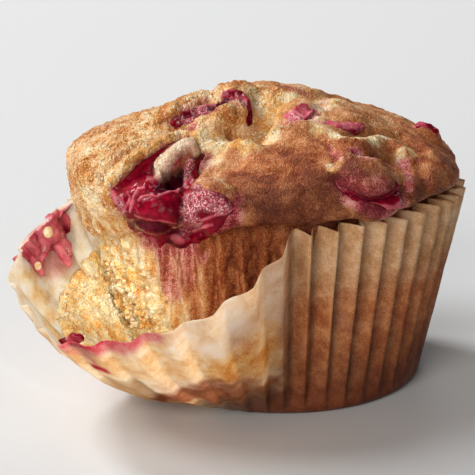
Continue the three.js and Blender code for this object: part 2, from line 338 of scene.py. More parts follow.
def add_node(tree, kind, inputs=None, **settings):
    """New node with its settings, its inputs set to values or linked to other sockets."""
    node = tree.nodes.new(kind)
    for key, value in settings.items():
        setattr(node, key, value)
    for key, value in (inputs or {}).items():
        if isinstance(value, bpy.types.NodeSocket):
            tree.links.new(value, node.inputs[key])
        else:
            node.inputs[key].default_value = value
    return node


def noise_value(tree, scale, detail=3.0, rough=0.55, stretch=(1, 1, 1)):
    """Noise on Object coordinates, its scale in lumps for each metre."""
    place = add_node(tree, "ShaderNodeTexCoord").outputs["Object"]
    mapped = add_node(tree, "ShaderNodeMapping", {"Vector": place, "Scale": stretch}).outputs["Vector"]
    made = add_node(tree, "ShaderNodeTexNoise",
        {"Vector": mapped, "Scale": scale, "Detail": detail, "Roughness": rough})
    return made.outputs["Fac"]


def ramp(tree, value, stops):
    """Colour ramp from pairs of a place and an 8-bit screen colour."""
    node = add_node(tree, "ShaderNodeValToRGB", {"Fac": value})
    band = node.color_ramp
    while len(band.elements) < len(stops):
        band.elements.new(0.5)
    for element, (place, colour) in zip(band.elements, stops):
        element.position = place
        element.color = srgb(*colour)
    return node.outputs["Color"]


def steps(tree, value, low, high, to_low=0.0, to_high=1.0):
    """Value stretched from low..high to to_low..to_high, and held at the ends."""
    return add_node(tree, "ShaderNodeMapRange", {
        "Value": value, "From Min": low, "From Max": high,
        "To Min": to_low, "To Max": to_high}).outputs["Result"]


def mix_colour(tree, amount, a, b, kind="MIX"):
    node = add_node(tree, "ShaderNodeMix", {0: amount}, data_type="RGBA", blend_type=kind)
    for key, value in ((6, a), (7, b)):
        tree.links.new(value, node.inputs[key])
    return node.outputs[2]


def calculate(tree, kind, a, b):
    return add_node(tree, "ShaderNodeMath", {0: a, 1: b}, operation=kind).outputs["Value"]


def painted(tree, name):
    return add_node(tree, "ShaderNodeAttribute", attribute_name=name).outputs["Fac"]


def bump(tree, height, distance, strength=1.0, under=None):
    inputs = {"Height": height, "Distance": distance, "Strength": strength}
    if under:
        inputs["Normal"] = under
    return add_node(tree, "ShaderNodeBump", inputs).outputs["Normal"]


def grain_group():
    """Shared grain: 1 on rounded crumbs, 0 in the gaps between them."""
    group = bpy.data.node_groups.new("crumb_grain", "ShaderNodeTree")
    group.interface.new_socket("Scale", in_out="INPUT", socket_type="NodeSocketFloat")
    group.interface.new_socket("Grain", in_out="OUTPUT", socket_type="NodeSocketFloat")
    scale = group.nodes.new("NodeGroupInput").outputs["Scale"]
    place = add_node(group, "ShaderNodeTexCoord").outputs["Object"]
    warp = add_node(group, "ShaderNodeTexNoise", {"Vector": place, "Scale": 900, "Detail": 1})
    shift = add_node(group, "ShaderNodeVectorMath", {0: warp.outputs["Color"], "Scale": 0.0007},
        operation="SCALE")
    moved = add_node(group, "ShaderNodeVectorMath", {0: place, 1: shift.outputs["Vector"]}, operation="ADD")
    cell = add_node(group, "ShaderNodeTexVoronoi", {"Vector": moved.outputs["Vector"], "Scale": scale})
    add_node(group, "NodeGroupOutput",
        {"Grain": steps(group, cell.outputs["Distance"], 0.12, 0.68, 1.0, 0.0)})
    return group


def grain_value(tree, scale):
    return add_node(tree, "ShaderNodeGroup", {"Scale": scale}, node_tree=crumb_grain).outputs["Grain"]


def weighted(tree, *parts):
    """Sum of sockets, each times its weight."""
    total = None
    for socket, weight in parts:
        share = calculate(tree, "MULTIPLY", socket, weight)
        total = calculate(tree, "ADD", total, share) if total else share
    return total


def crust_material():
    """Baked cake: brown crust, pale dough, torn crumb and juice, each by its painted share, with painted
    shade darkening the shaded front and sides and the pits.
    """
    material, tree, shader = new_material("baked_cake")
    coarse = grain_value(tree, 1500)
    fine = grain_value(tree, 3400)
    speck = noise_value(tree, 5200, 1)
    patch = noise_value(tree, 230, 4)
    streak = noise_value(tree, 900, 3, stretch=(1, 1, 0.13))
    along = calculate(tree, "MULTIPLY", calculate(tree, "SUBTRACT", streak, patch), painted(tree, "flank"))
    patch = calculate(tree, "ADD", patch, along)
    rough = painted(tree, "rough")
    sharp = calculate(tree, "MULTIPLY", calculate(tree, "SUBTRACT", coarse, 0.38),
        steps(tree, rough, 0.0, 1.0, 0.06, 0.13))
    crisp = calculate(tree, "MULTIPLY", calculate(tree, "SUBTRACT", fine, 0.38),
        steps(tree, rough, 0.0, 1.0, 0.16, 0.19))
    mottle = weighted(tree, (sharp, 1.0), (crisp, 1.0), (speck, 0.12), (patch, 0.88))
    brown = ramp(tree, mottle, [
        (0.34, (116, 48, 18)), (0.43, (158, 80, 38)), (0.52, (190, 110, 58)), (0.66, (230, 170, 116))])
    gold = ramp(tree, mottle, [
        (0.32, (182, 106, 46)), (0.42, (212, 148, 82)), (0.50, (232, 188, 132)), (0.62, (248, 226, 188))])
    pale = ramp(tree, mottle, [
        (0.32, (206, 134, 58)), (0.42, (226, 172, 100)), (0.50, (238, 204, 146)), (0.62, (250, 232, 198))])
    crumb = ramp(tree, mottle, [
        (0.32, (238, 172, 82)), (0.41, (252, 210, 130)), (0.48, (255, 234, 176)), (0.60, (255, 248, 216))])
    # Darkest brown: toasted crust, and painted shade on the cap's front faces and the front of the flank.
    toast_and_shade = ramp(tree, mottle, [
        (0.34, (76, 28, 10)), (0.43, (106, 48, 22)), (0.52, (130, 66, 34)), (0.66, (176, 112, 68))])
    browned = calculate(tree, "ADD", painted(tree, "browned"), steps(tree, patch, 0.3, 0.7, -0.25, 0.25))
    colour = mix_colour(tree, steps(tree, browned, 0.2, 0.8), gold, brown)
    colour = mix_colour(tree, steps(tree, browned, 0.8, 1.6), colour, toast_and_shade)
    colour = mix_colour(tree, painted(tree, "pale"), colour, pale)
    colour = mix_colour(tree, painted(tree, "torn"), colour, crumb)
    juice = ramp(tree, mottle, [(0.34, (112, 8, 34)), (0.46, (176, 56, 76)), (0.60, (236, 168, 164))])
    colour = mix_colour(tree, painted(tree, "juice"), colour, juice)
    # Painted shade in pits and holes, multiplied into the colour.
    pit_shade = ramp(tree, painted(tree, "pit_shade"), [(0.0, (255, 255, 255)), (1.0, (224, 172, 116))])
    colour = mix_colour(tree, 1.0, colour, pit_shade, "MULTIPLY")
    tree.links.new(colour, shader.inputs["Base Color"])
    tree.links.new(steps(tree, fine, 0.2, 0.9, 0.72, 0.38), shader.inputs["Roughness"])
    height = calculate(tree, "MULTIPLY", coarse, steps(tree, rough, 0.0, 1.0, 0.06, 0.5))
    height = weighted(tree, (height, 1.0), (fine, 0.26), (speck, 0.08))
    tree.links.new(bump(tree, height, 0.0005, 1.0), shader.inputs["Normal"])
    shader.inputs["Subsurface Weight"].default_value = 0.2
    shader.inputs["Subsurface Radius"].default_value = (1.0, 0.85, 0.65)
    shader.inputs["Subsurface Scale"].default_value = 0.0005
    shader.inputs["Specular IOR Level"].default_value = 0.3
    return material


def berry_material():
    """Burst berry: wet crimson flesh with painted shade in its hollows and painted pink highlights and glow
    along its folds, sugary or floury where painted so.
    """
    material, tree, shader = new_material("burst_berry")
    fine = noise_value(tree, 520, 3)
    grit = weighted(tree, (grain_value(tree, 2900), 0.55), (noise_value(tree, 2400, 3), 0.55))
    red = ramp(tree, fine, [(0.34, (98, 0, 20)), (0.5, (124, 0, 28)), (0.66, (150, 6, 40))])
    # Painted shade: near-black red for the hollows and the dark side of the flesh.
    hollow_shade = ramp(tree, fine, [(0.34, (32, 0, 10)), (0.66, (68, 2, 22))])
    # Painted highlight: pale pink for sheen along folds and light glowing through thin skin.
    sheen_and_glow = ramp(tree, fine, [(0.34, (192, 66, 92)), (0.66, (232, 138, 146))])
    frost = ramp(tree, grit, [
        (0.26, (168, 44, 68)), (0.44, (212, 122, 132)), (0.58, (238, 184, 184)), (0.76, (252, 230, 226))])
    flour = ramp(tree, grain_value(tree, 2300), [
        (0.0, (224, 184, 148)), (0.3, (238, 210, 178)), (0.7, (248, 230, 206))])
    tan = ramp(tree, grit, [(0.1, (150, 84, 58)), (0.6, (212, 152, 110)), (0.9, (240, 200, 162))])
    colour = mix_colour(tree, painted(tree, "hollow_shade"), red, hollow_shade)
    colour = mix_colour(tree, painted(tree, "sheen_and_glow"), colour, sheen_and_glow)
    sugar = calculate(tree, "MULTIPLY", painted(tree, "frost"),
        steps(tree, noise_value(tree, 900, 3), 0.36, 0.54, 0.3, 1.0))
    colour = mix_colour(tree, sugar, colour, frost)
    colour = mix_colour(tree, painted(tree, "flour"), colour, flour)
    colour = mix_colour(tree, painted(tree, "tan"), colour, tan)
    tree.links.new(colour, shader.inputs["Base Color"])
    dry = calculate(tree, "MAXIMUM", painted(tree, "frost"),
        calculate(tree, "MAXIMUM", painted(tree, "flour"), painted(tree, "tan")))
    tree.links.new(steps(tree, dry, 0.0, 1.0, 0.24, 0.6), shader.inputs["Roughness"])
    tree.links.new(steps(tree, dry, 0.0, 0.8, 0.06, 0.0), shader.inputs["Coat Weight"])
    shader.inputs["Specular IOR Level"].default_value = 0.09
    shader.inputs["Coat Roughness"].default_value = 0.12
    rise = calculate(tree, "ADD", calculate(tree, "MULTIPLY", grit, dry),
        calculate(tree, "MULTIPLY", noise_value(tree, 900, 2), 0.16))
    tree.links.new(bump(tree, rise, 0.0004, 1.0), shader.inputs["Normal"])
    shader.inputs["Subsurface Weight"].default_value = 0.25
    shader.inputs["Subsurface Radius"].default_value = (1.0, 0.12, 0.16)
    shader.inputs["Subsurface Scale"].default_value = 0.0016
    return material


def paper_material():
    """Greaseproof paper: cream and see-through where it is free, brown where the cake shows through."""
    material, tree, shader = new_material("case_paper")
    fibre = noise_value(tree, 3600, 2, 0.7)
    soft = noise_value(tree, 700, 3)
    cloud = noise_value(tree, 230, 4)
    blend = weighted(tree, (fibre, 0.35), (soft, 0.25), (cloud, 0.40))
    cream = ramp(tree, blend, [(0.40, (246, 230, 200)), (0.50, (254, 248, 234)), (0.60, (255, 253, 248))])
    tan = ramp(tree, blend, [(0.40, (204, 148, 96)), (0.50, (230, 182, 130)), (0.60, (248, 214, 170))])
    gold = ramp(tree, blend, [(0.40, (230, 174, 104)), (0.50, (246, 214, 154)), (0.60, (255, 240, 206))])
    brown = ramp(tree, blend, [(0.40, (146, 74, 38)), (0.5, (176, 102, 56)), (0.6, (206, 140, 88))])
    dark = ramp(tree, blend, [(0.40, (86, 36, 16)), (0.6, (128, 66, 36))])
    pink = ramp(tree, blend, [(0.40, (196, 24, 62)), (0.48, (226, 104, 126)), (0.60, (246, 178, 180))])
    colour = mix_colour(tree, painted(tree, "tanned"), cream, tan)
    colour = mix_colour(tree, painted(tree, "crumbed"), colour, gold)
    colour = mix_colour(tree, painted(tree, "browned"), colour, brown)
    colour = mix_colour(tree, painted(tree, "baked"), colour, dark)
    colour = mix_colour(tree, painted(tree, "juice"), colour, pink)
    # Painted fold highlight and shade, multiplied into the colour.
    fold_highlight_shade = painted(tree, "fold_highlight_shade")
    shade = add_node(tree, "ShaderNodeCombineColor", {0: fold_highlight_shade, 1: fold_highlight_shade, 2: fold_highlight_shade}).outputs[0]
    colour = mix_colour(tree, 1.0, colour, shade, "MULTIPLY")
    tree.links.new(colour, shader.inputs["Base Color"])
    shader.inputs["Roughness"].default_value = 0.5
    shader.inputs["Specular IOR Level"].default_value = 0.3
    normal = bump(tree, fibre, 0.00008, 0.5)
    normal = bump(tree, noise_value(tree, 300, 3), 0.0003, 0.5, normal)
    tree.links.new(normal, shader.inputs["Normal"])
    glow = add_node(tree, "ShaderNodeBsdfTranslucent", {"Color": colour, "Normal": normal})
    closed = calculate(tree, "MAXIMUM", painted(tree, "backed"), painted(tree, "baked"))
    share = steps(tree, closed, 0.0, 1.0, 0.88, 0.10)
    mixed = add_node(tree, "ShaderNodeMixShader", {0: share, 1: shader.outputs[0], 2: glow.outputs[0]})
    tree.links.new(mixed.outputs[0], tree.nodes["Material Output"].inputs["Surface"])
    return material


def seed_material():
    material, tree, shader = new_material("berry_seed")
    colour = ramp(tree, noise_value(tree, 1200, 2), [(0.35, (226, 186, 130)), (0.65, (252, 236, 200))])
    tree.links.new(colour, shader.inputs["Base Color"])
    shader.inputs["Roughness"].default_value = 0.35
    shader.inputs["Subsurface Weight"].default_value = 0.2
    shader.inputs["Subsurface Scale"].default_value = 0.001
    return material


# Cake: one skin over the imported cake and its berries, then the relief of the crust

CAP_BERRIES = [
    "berry_front", "berry_front_skin", "berry_front_pulp", "berry_crest_left", "berry_crest_right",
    "berry_middle", "berry_streak", "berry_right", "berry_edge",
]


def bare_cake():
    """Cake without pockets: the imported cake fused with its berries, evenly meshed."""
    pieces = [copy_of_node("muffin", "muffin_cake")]
    for node in CAP_BERRIES:
        berry = copy_of_node(node, node + "_filler")
        apply_modifier(berry, "DISPLACE", strength=0.55 * MM, mid_level=0.0)
        pieces.append(berry)
    cake = join("muffin_cake", pieces)
    apply_modifier(cake, "REMESH", mode="VOXEL", voxel_size=CAKE_VOXEL)
    apply_modifier(cake, "SMOOTH", factor=0.5, iterations=9)
    return cake


# Forms of the crust: points in the photograph, half width and height in millimetres
CRUST_FORMS = {
    "left_crack": ([(101, 186), (104, 174), (114, 163), (129, 151), (140, 144), (152, 141)], 0.8, -1.7),
    "pale_ledge": (
        [(108, 186), (113, 180), (128, 167), (146, 153), (165, 142), (181, 136), (200, 138)], 1.1, 1.2),
    "valley_pocket": ([(262, 139), (248, 138), (234, 133)], 1.5, -1.9),
    "valley_back": ([(264, 136), (270, 121), (262, 105), (256, 95)], 2.2, -1.3),
    "front_lip": (
        [(205, 151), (228, 147), (250, 146), (266, 134), (281, 125), (305, 127), (322, 129)], 1.9, 1.0),
    "brow_crease": ([(235, 175), (258, 173), (274, 169), (298, 174)], 0.45, -0.5),
    "knob": ([(206, 124), (222, 117), (238, 109)], 2.4, 1.3),
    "knob_foot": ([(200, 138), (222, 137), (240, 128)], 1.0, -0.6),
    "crest_lump": ([(172, 110), (188, 103), (206, 97)], 2.2, 0.8),
    "lump": ([(358, 178), (378, 180)], 3.2, 1.5),
    "lump_groove_over": ([(336, 163), (334, 150), (354, 152), (375, 155), (398, 162), (407, 171)], 0.8, -0.9),
    "lump_groove_under": ([(338, 180), (353, 194), (375, 202), (397, 199), (405, 184)], 1.0, -1.3),
    "pink_knob": ([(338, 151), (348, 154)], 1.1, 0.7),
    "beige_knob": ([(403, 153), (413, 158)], 1.4, 0.9),
    "pale_fold": ([(344, 141), (360, 145), (378, 140)], 1.6, 0.7),
    "right_ledge": ([(346, 137), (375, 132), (402, 136), (424, 150)], 0.8, -0.8),
    "right_fold": ([(416, 158), (424, 176), (426, 195)], 1.2, -0.6),
    "back_fold": ([(318, 100), (338, 93), (356, 97)], 1.3, -0.5),
    "chin": ([(240, 214), (290, 224), (340, 222)], 3.0, 0.6),
}
# Outlines of the berries in the photograph
BERRY_OUTLINES = {
    "burst_berry": [
        (193, 139), (184, 139), (176, 141), (168, 144), (160, 149), (153, 155), (146, 160), (139, 167),
        (131, 173), (123, 179), (116, 184), (110, 188), (109, 195), (111, 202), (115, 207), (119, 214),
        (125, 221), (128, 228), (134, 232), (142, 233), (147, 238), (151, 243), (156, 248), (161, 248),
        (165, 244), (169, 244), (174, 247), (180, 249), (186, 248), (191, 245), (199, 244), (206, 240),
        (213, 237), (217, 230), (225, 223), (231, 215), (238, 209), (233, 202), (227, 196), (219, 192),
        (210, 190), (204, 188), (196, 182), (194, 172), (197, 164), (206, 157), (206, 153), (200, 151),
        (197, 145)],
    "crest_berry": [
        (170, 123), (174, 117), (181, 112), (190, 108), (200, 105), (212, 103), (221, 100), (218, 96),
        (224, 91), (233, 89), (242, 91), (249, 98), (252, 108), (253, 118), (254, 124), (249, 127),
        (245, 122), (246, 113), (242, 106), (234, 105), (226, 107), (218, 111), (208, 116), (201, 120),
        (194, 123), (184, 125), (176, 129)],
    "pink_berry": [
        (281, 119), (285, 113), (291, 110), (294, 106), (300, 103), (306, 104), (309, 108), (315, 110),
        (312, 116), (307, 122), (300, 124), (293, 127), (287, 124)],
    "berry_streak_skin": [
        (324, 122), (331, 120), (338, 122), (348, 120), (356, 122), (362, 124), (366, 129), (360, 131),
        (350, 132), (342, 131), (335, 127), (329, 125)],
    "crescent_berry": [
        (334, 182), (339, 181), (345, 186), (352, 191), (360, 195), (370, 197), (381, 196), (389, 192),
        (394, 186), (396, 178), (400, 184), (402, 195), (403, 205), (397, 211), (388, 211), (380, 205),
        (370, 202), (360, 203), (352, 199), (344, 193), (337, 187)],
}
# Deeper hollows under parts of them
BERRY_HOLLOWS = {
    "front_skin": ([(126, 186), (145, 172), (165, 158), (184, 150)], 2.0, -2.4),
    "front_under": ([(128, 222), (148, 228), (176, 230)], 1.7, -2.2),
    "front_dark": ([(150, 184), (176, 180), (186, 168)], 2.4, -3.0),
}
# Parts of the surface by their look: points in the photograph and half width in millimetres
PALE_DOUGH = [
    ([(205, 148), (228, 144), (250, 143), (264, 134), (272, 122), (266, 106), (258, 96)], 2.4),
    ([(255, 100), (270, 112), (282, 104), (292, 100)], 2.0),
    ([(108, 188), (112, 182), (126, 170), (142, 157), (160, 144), (178, 137), (200, 138)], 1.6),
    ([(84, 190), (92, 206), (104, 218), (112, 232)], 2.4),
    ([(316, 130), (332, 136), (350, 141), (366, 144), (382, 138)], 1.1),
    ([(322, 102), (318, 112), (308, 124)], 1.3),
    ([(328, 108), (342, 101), (354, 106)], 1.1),
    ([(332, 168), (338, 162), (346, 158), (360, 154), (372, 156)], 0.8),
    ([(400, 156), (404, 150), (412, 156)], 0.9),
    ([(212, 160), (206, 172), (210, 184), (222, 190)], 1.9),
]
JUICE = [
    ([(112, 190), (128, 176), (146, 162), (166, 147), (188, 140)], 0.7, 0.8),
    ([(198, 152), (206, 158), (200, 166)], 1.2, 0.85),
    ([(204, 166), (207, 180), (216, 188)], 2.0, 0.5),
    ([(212, 190), (224, 194), (236, 202)], 1.4, 0.6),
    ([(214, 230), (226, 224), (234, 214)], 1.6, 0.75),
    ([(135, 228), (150, 238), (160, 250)], 1.6, 0.9),
    ([(150, 240), (170, 248), (192, 246)], 2.2, 0.8),
    ([(160, 256), (163, 272), (168, 288)], 1.7, 0.75),
    ([(178, 250), (184, 262), (182, 280), (176, 290)], 2.2, 0.6),
    ([(196, 246), (200, 256)], 1.5, 0.6),
    ([(178, 133), (192, 131), (200, 128)], 1.2, 0.8),
    ([(172, 124), (190, 108), (206, 102)], 0.9, 0.55),
    ([(218, 112), (228, 107), (240, 108)], 1.2, 0.55),
    ([(160, 103), (166, 99)], 0.7, 1.0),
    ([(164, 116), (167, 131)], 0.6, 0.45),
    ([(283, 119), (290, 124), (304, 124), (313, 112)], 1.2, 0.75),
    ([(318, 124), (330, 124), (345, 130), (364, 128)], 0.9, 0.75),
    ([(330, 149), (338, 158), (350, 158)], 0.8, 0.7),
    ([(354, 150), (362, 152)], 0.9, 0.95),
    ([(362, 157), (376, 157), (388, 162), (404, 162), (408, 172), (408, 190)], 0.8, 0.7),
    ([(396, 164), (403, 162)], 0.7, 1.0),
    ([(340, 184), (350, 196), (362, 204), (380, 209), (396, 213)], 1.5, 0.7),
    ([(401, 184), (403, 200), (400, 212)], 1.1, 0.7),
    ([(352, 184), (366, 190), (384, 188)], 2.4, 0.48),
    ([(338, 164), (346, 159), (362, 155)], 1.1, 0.4),
    ([(306, 124), (316, 112), (324, 102)], 1.2, 0.35),
    ([(416, 159)], 0.5, 0.9),
    ([(286, 88), (300, 93)], 1.3, 0.45),
    ([(103, 122), (107, 119)], 0.8, 0.6),
    ([(418, 122), (436, 132)], 1.0, 0.7),
]


def turn_of(points):
    """Turn of each point round the axis, from -180 to 180 degrees."""
    return np.degrees(np.arctan2(-points[:, 0], -points[:, 1]))


def shape_cake(cake):
    """Relief of the crust, the torn crumb and the hollows of the berries, with their painted shares."""
    tree = tree_of(cake)
    points = vertices_of(cake)
    normals = normals_of(cake)
    x, y, z = (points / MM).T
    turn = turn_of(points)
    radius = np.hypot(x, y)
    cap = smooth_step(z, 33, 37)
    flank = 1 - cap
    shown = smooth_step(turn, -4, 3) * (1 - smooth_step(turn, 96, 106))
    free_flank = flank * shown

    lift = np.zeros(len(points))
    for line, width, tall in [*CRUST_FORMS.values(), *BERRY_HOLLOWS.values()]:
        away = away_from(points, line_on(tree, line))
        lift += tall * np.exp(-(away / width) ** 2)
    px, py = picture_points(points)
    facing = ((np.array(EYE) - points) * normals).sum(1) > 0
    for outline in BERRY_OUTLINES.values():
        near = facing & (away_from(points, line_on(tree, outline)) < BERRY_REACH)
        lift -= BERRY_SINK * near * smooth_step(inside_of(px, py, outline), 0.3, 6)

    torn_noise = grain(points, 9, 3, 2)
    torn = free_flank * smooth_step(turn + 9 * torn_noise - 0.55 * (z - 14), 31, 50)
    torn *= 1 - smooth_step(z + 3 * torn_noise, 27, 33)
    left = smooth_step(turn, 20, 50) * (1 - smooth_step(turn, 110, 140)) * cap

    # Crust: soft lumps, crumb grain and small pores
    lumps = grain(points, 6.5, 1, 3)
    crumbs = grain(points, 1.9, 2, 3)
    grains = grain(points, 0.95, 4, 2)
    pores = np.clip(1 - cells(points, 2.6, 5) / 0.34, 0, 1) ** 0.7
    rough = 0.34 + 0.85 * left + 0.2 * smooth_step(z, 40, 50)
    lift += cap * (0.45 * lumps + 0.24 * rough * crumbs + 0.22 * rough * grains - 0.45 * rough * pores)

    # Torn crumb: open holes between grains
    holes = np.clip(1 - cells(points, 3.3, 6) / 0.46, 0, 1)
    small_holes = np.clip(1 - cells(points, 1.5, 7) / 0.4, 0, 1)
    lift += torn * (0.5 * lumps + 0.55 * crumbs + 0.25 * grains - 1.5 * holes - 0.55 * small_holes)

    # Flutes pressed by the pleats: rougher where they show
    smooth_flank = free_flank * (1 - torn)
    flute = np.cos(np.radians((turn - FIRST_TURN) * 360 / PLEAT_FRONT))
    flute *= smooth_step(z, 5, 10) * (1 - smooth_step(z, 29, 34))
    lift += smooth_flank * (0.34 * flute + 0.22 * crumbs + 0.12 * grains - 0.45 * pores) + 0.3 * torn * flute
    lift += (flank - free_flank) * 0.06 * crumbs - 0.15 * (flank - free_flank)

    points = points + normals * (lift * MM)[:, None]
    move_vertices(cake, points)

    # Painted shares
    pale = np.zeros(len(points))
    for line, width in PALE_DOUGH:
        away = away_from(points, line_on(tree, line))
        pale = np.maximum(pale, 1 - smooth_step(away + 0.9 * crumbs, width * 0.7, width * 1.5))
    pale = pale * cap
    juice = np.zeros(len(points))
    for line, width, most in JUICE:
        away = away_from(points, line_on(tree, line))
        juice = np.maximum(juice, most * (1 - smooth_step(away + 0.8 * crumbs, width * 0.55, width * 1.45)))
    # Painted shade: the front of the cap and its right side are painted darker where they are in shade, on
    # top of the crust's own browning.
    front = smooth_step(-y, 6, 26) * smooth_step(x, -16, -6)
    browned = 0.42 + 0.3 * lumps + 0.42 * front * cap - 0.4 * left + 0.12 * smooth_step(x, 8, 28)
    browned += 0.25 * smooth_step(radius, 24, 31) * cap
    browned += 0.3 * smooth_step(x, 10, 28) * cap * smooth_step(-y, -12, 4)
    # Front-facing slopes of the cap's front are painted darkest: painted shade.
    browned += 0.75 * front * cap * smooth_step(-normals[:, 1] - 0.3 * normals[:, 2], 0.1, 0.8)
    # The flank is painted darker towards the front, where it is in shade, and paler towards the lit left; the
    # flute crests are painted lighter.
    flank_brown_shade = 1.4 - 1.25 * smooth_step(turn, 10, 48) - 0.25 * smooth_step(12 - z, 0, 10)
    browned = browned * cap + flank * (flank_brown_shade + 0.25 * crumbs - 0.22 * flute * shown)
    # Pits and holes are painted darker as painted shade.
    pit_shade = np.clip(0.9 * np.maximum(holes, 0.8 * small_holes) * torn + 0.7 * pores * (1 - torn), 0, 1)
    paint(cake, "pale", pale)
    paint(cake, "juice", juice)
    paint(cake, "rough", np.clip(np.maximum(
        1.0 * left + 0.3 * smooth_step(z, 42, 52), np.maximum(0.5 * pale, 0.8 * torn)), 0, 1))
    # Pale cream on the left flank's flute crests and lumps, partly pale crumb and partly painted light where
    # the left light falls.
    cream = smooth_flank * np.clip(0.2 + 0.5 * flute + 0.6 * lumps, 0, 1) * smooth_step(turn, 24, 60)
    paint(cake, "torn", np.maximum(torn, cream))
    paint(cake, "flank", free_flank)
    paint(cake, "browned", np.clip(browned, 0, 1.6))
    paint(cake, "pit_shade", pit_shade)
    return tree


# Berries: skins laid on the surface under outlines drawn in the photograph

def smoothed(grid, times):
    """Grid of vectors, each averaged with its neighbours."""
    for _ in range(times):
        wide = np.pad(grid, ((1, 1), (1, 1), (0, 0)), mode="edge")
        sides = wide[:-2, 1:-1] + wide[2:, 1:-1] + wide[1:-1, :-2] + wide[1:-1, 2:]
        grid = (sides + 2 * wide[1:-1, 1:-1]) / 6
    return grid


def add_relief(name, nodes, tree, outline, domes, ridges, looks, material, wrinkle=0.16):
    """Skin over an outline of the photograph, raised by domes (outline, soft edge, height) and ridges
    (line, half width, height); looks gives the painted shares. Widths in picture points, heights in mm."""
    xs, ys = zip(*outline)
    px, py = np.meshgrid(*(np.arange(min(side) - 5, max(side) + 5, SKIN_STEP) for side in (xs, ys)))
    found = [spot(tree, x, y) for x, y in zip(px.ravel(), py.ravel())]
    places = smoothed(np.array([place for place, _ in found]).reshape(*px.shape, 3), 3)
    normals = smoothed(np.array([normal for _, normal in found]).reshape(*px.shape, 3), 12)
    normals /= np.linalg.norm(normals, axis=-1)[..., None]
    flat = places.reshape(-1, 3)
    soft = grain(flat, 1.6, 61, 3).reshape(px.shape)
    inside = inside_of(px, py, outline) + 1.6 * soft
    lift = 1.9 * (smooth_step(inside, -2.5, 1.2) - 1)
    for shape, edge, tall in domes:
        lift += tall * smooth_step(inside_of(px, py, shape) + 1.2 * soft, -0.3 * edge, edge)
    for line, width, tall in ridges:
        lift += tall * np.exp(-(from_line(px, py, line) / width) ** 2)
    folds = 1 - np.abs(grain(flat, SKIN_FOLDS, 62, 2).reshape(px.shape)) * 2.4
    lift += wrinkle * folds * smooth_step(inside, 0, 3)
    points = places + normals * (lift * MM)[..., None]

    rows, columns = px.shape
    kept = inside > -3.2
    faces = []
    for i in range(rows - 1):
        for j in range(columns - 1):
            if kept[i, j] and kept[i + 1, j] and kept[i, j + 1] and kept[i + 1, j + 1]:
                a = i * columns + j
                faces.append((a, a + columns, a + columns + 1, a + 1))
    mesh = bpy.data.meshes.new(name)
    mesh.from_pydata(points.reshape(-1, 3).tolist(), [], faces)
    piece = bpy.data.objects.new(name, mesh)
    bpy.context.collection.objects.link(piece)
    for look, lines in looks.items():
        share = np.zeros(px.shape)
        for line, width, most in lines:
            away = from_line(px, py, line) + 0.9 * soft
            share = np.maximum(share, most * (1 - smooth_step(away, width * 0.55, width * 1.35)))
        paint(piece, look, share.ravel())
    only(piece)
    bpy.ops.object.mode_set(mode="EDIT")
    bpy.ops.mesh.select_all(action="SELECT")
    bpy.ops.mesh.delete_loose()
    bpy.ops.object.mode_set(mode="OBJECT")
    finish_piece(piece, material, "red_berry", *nodes)
    return piece


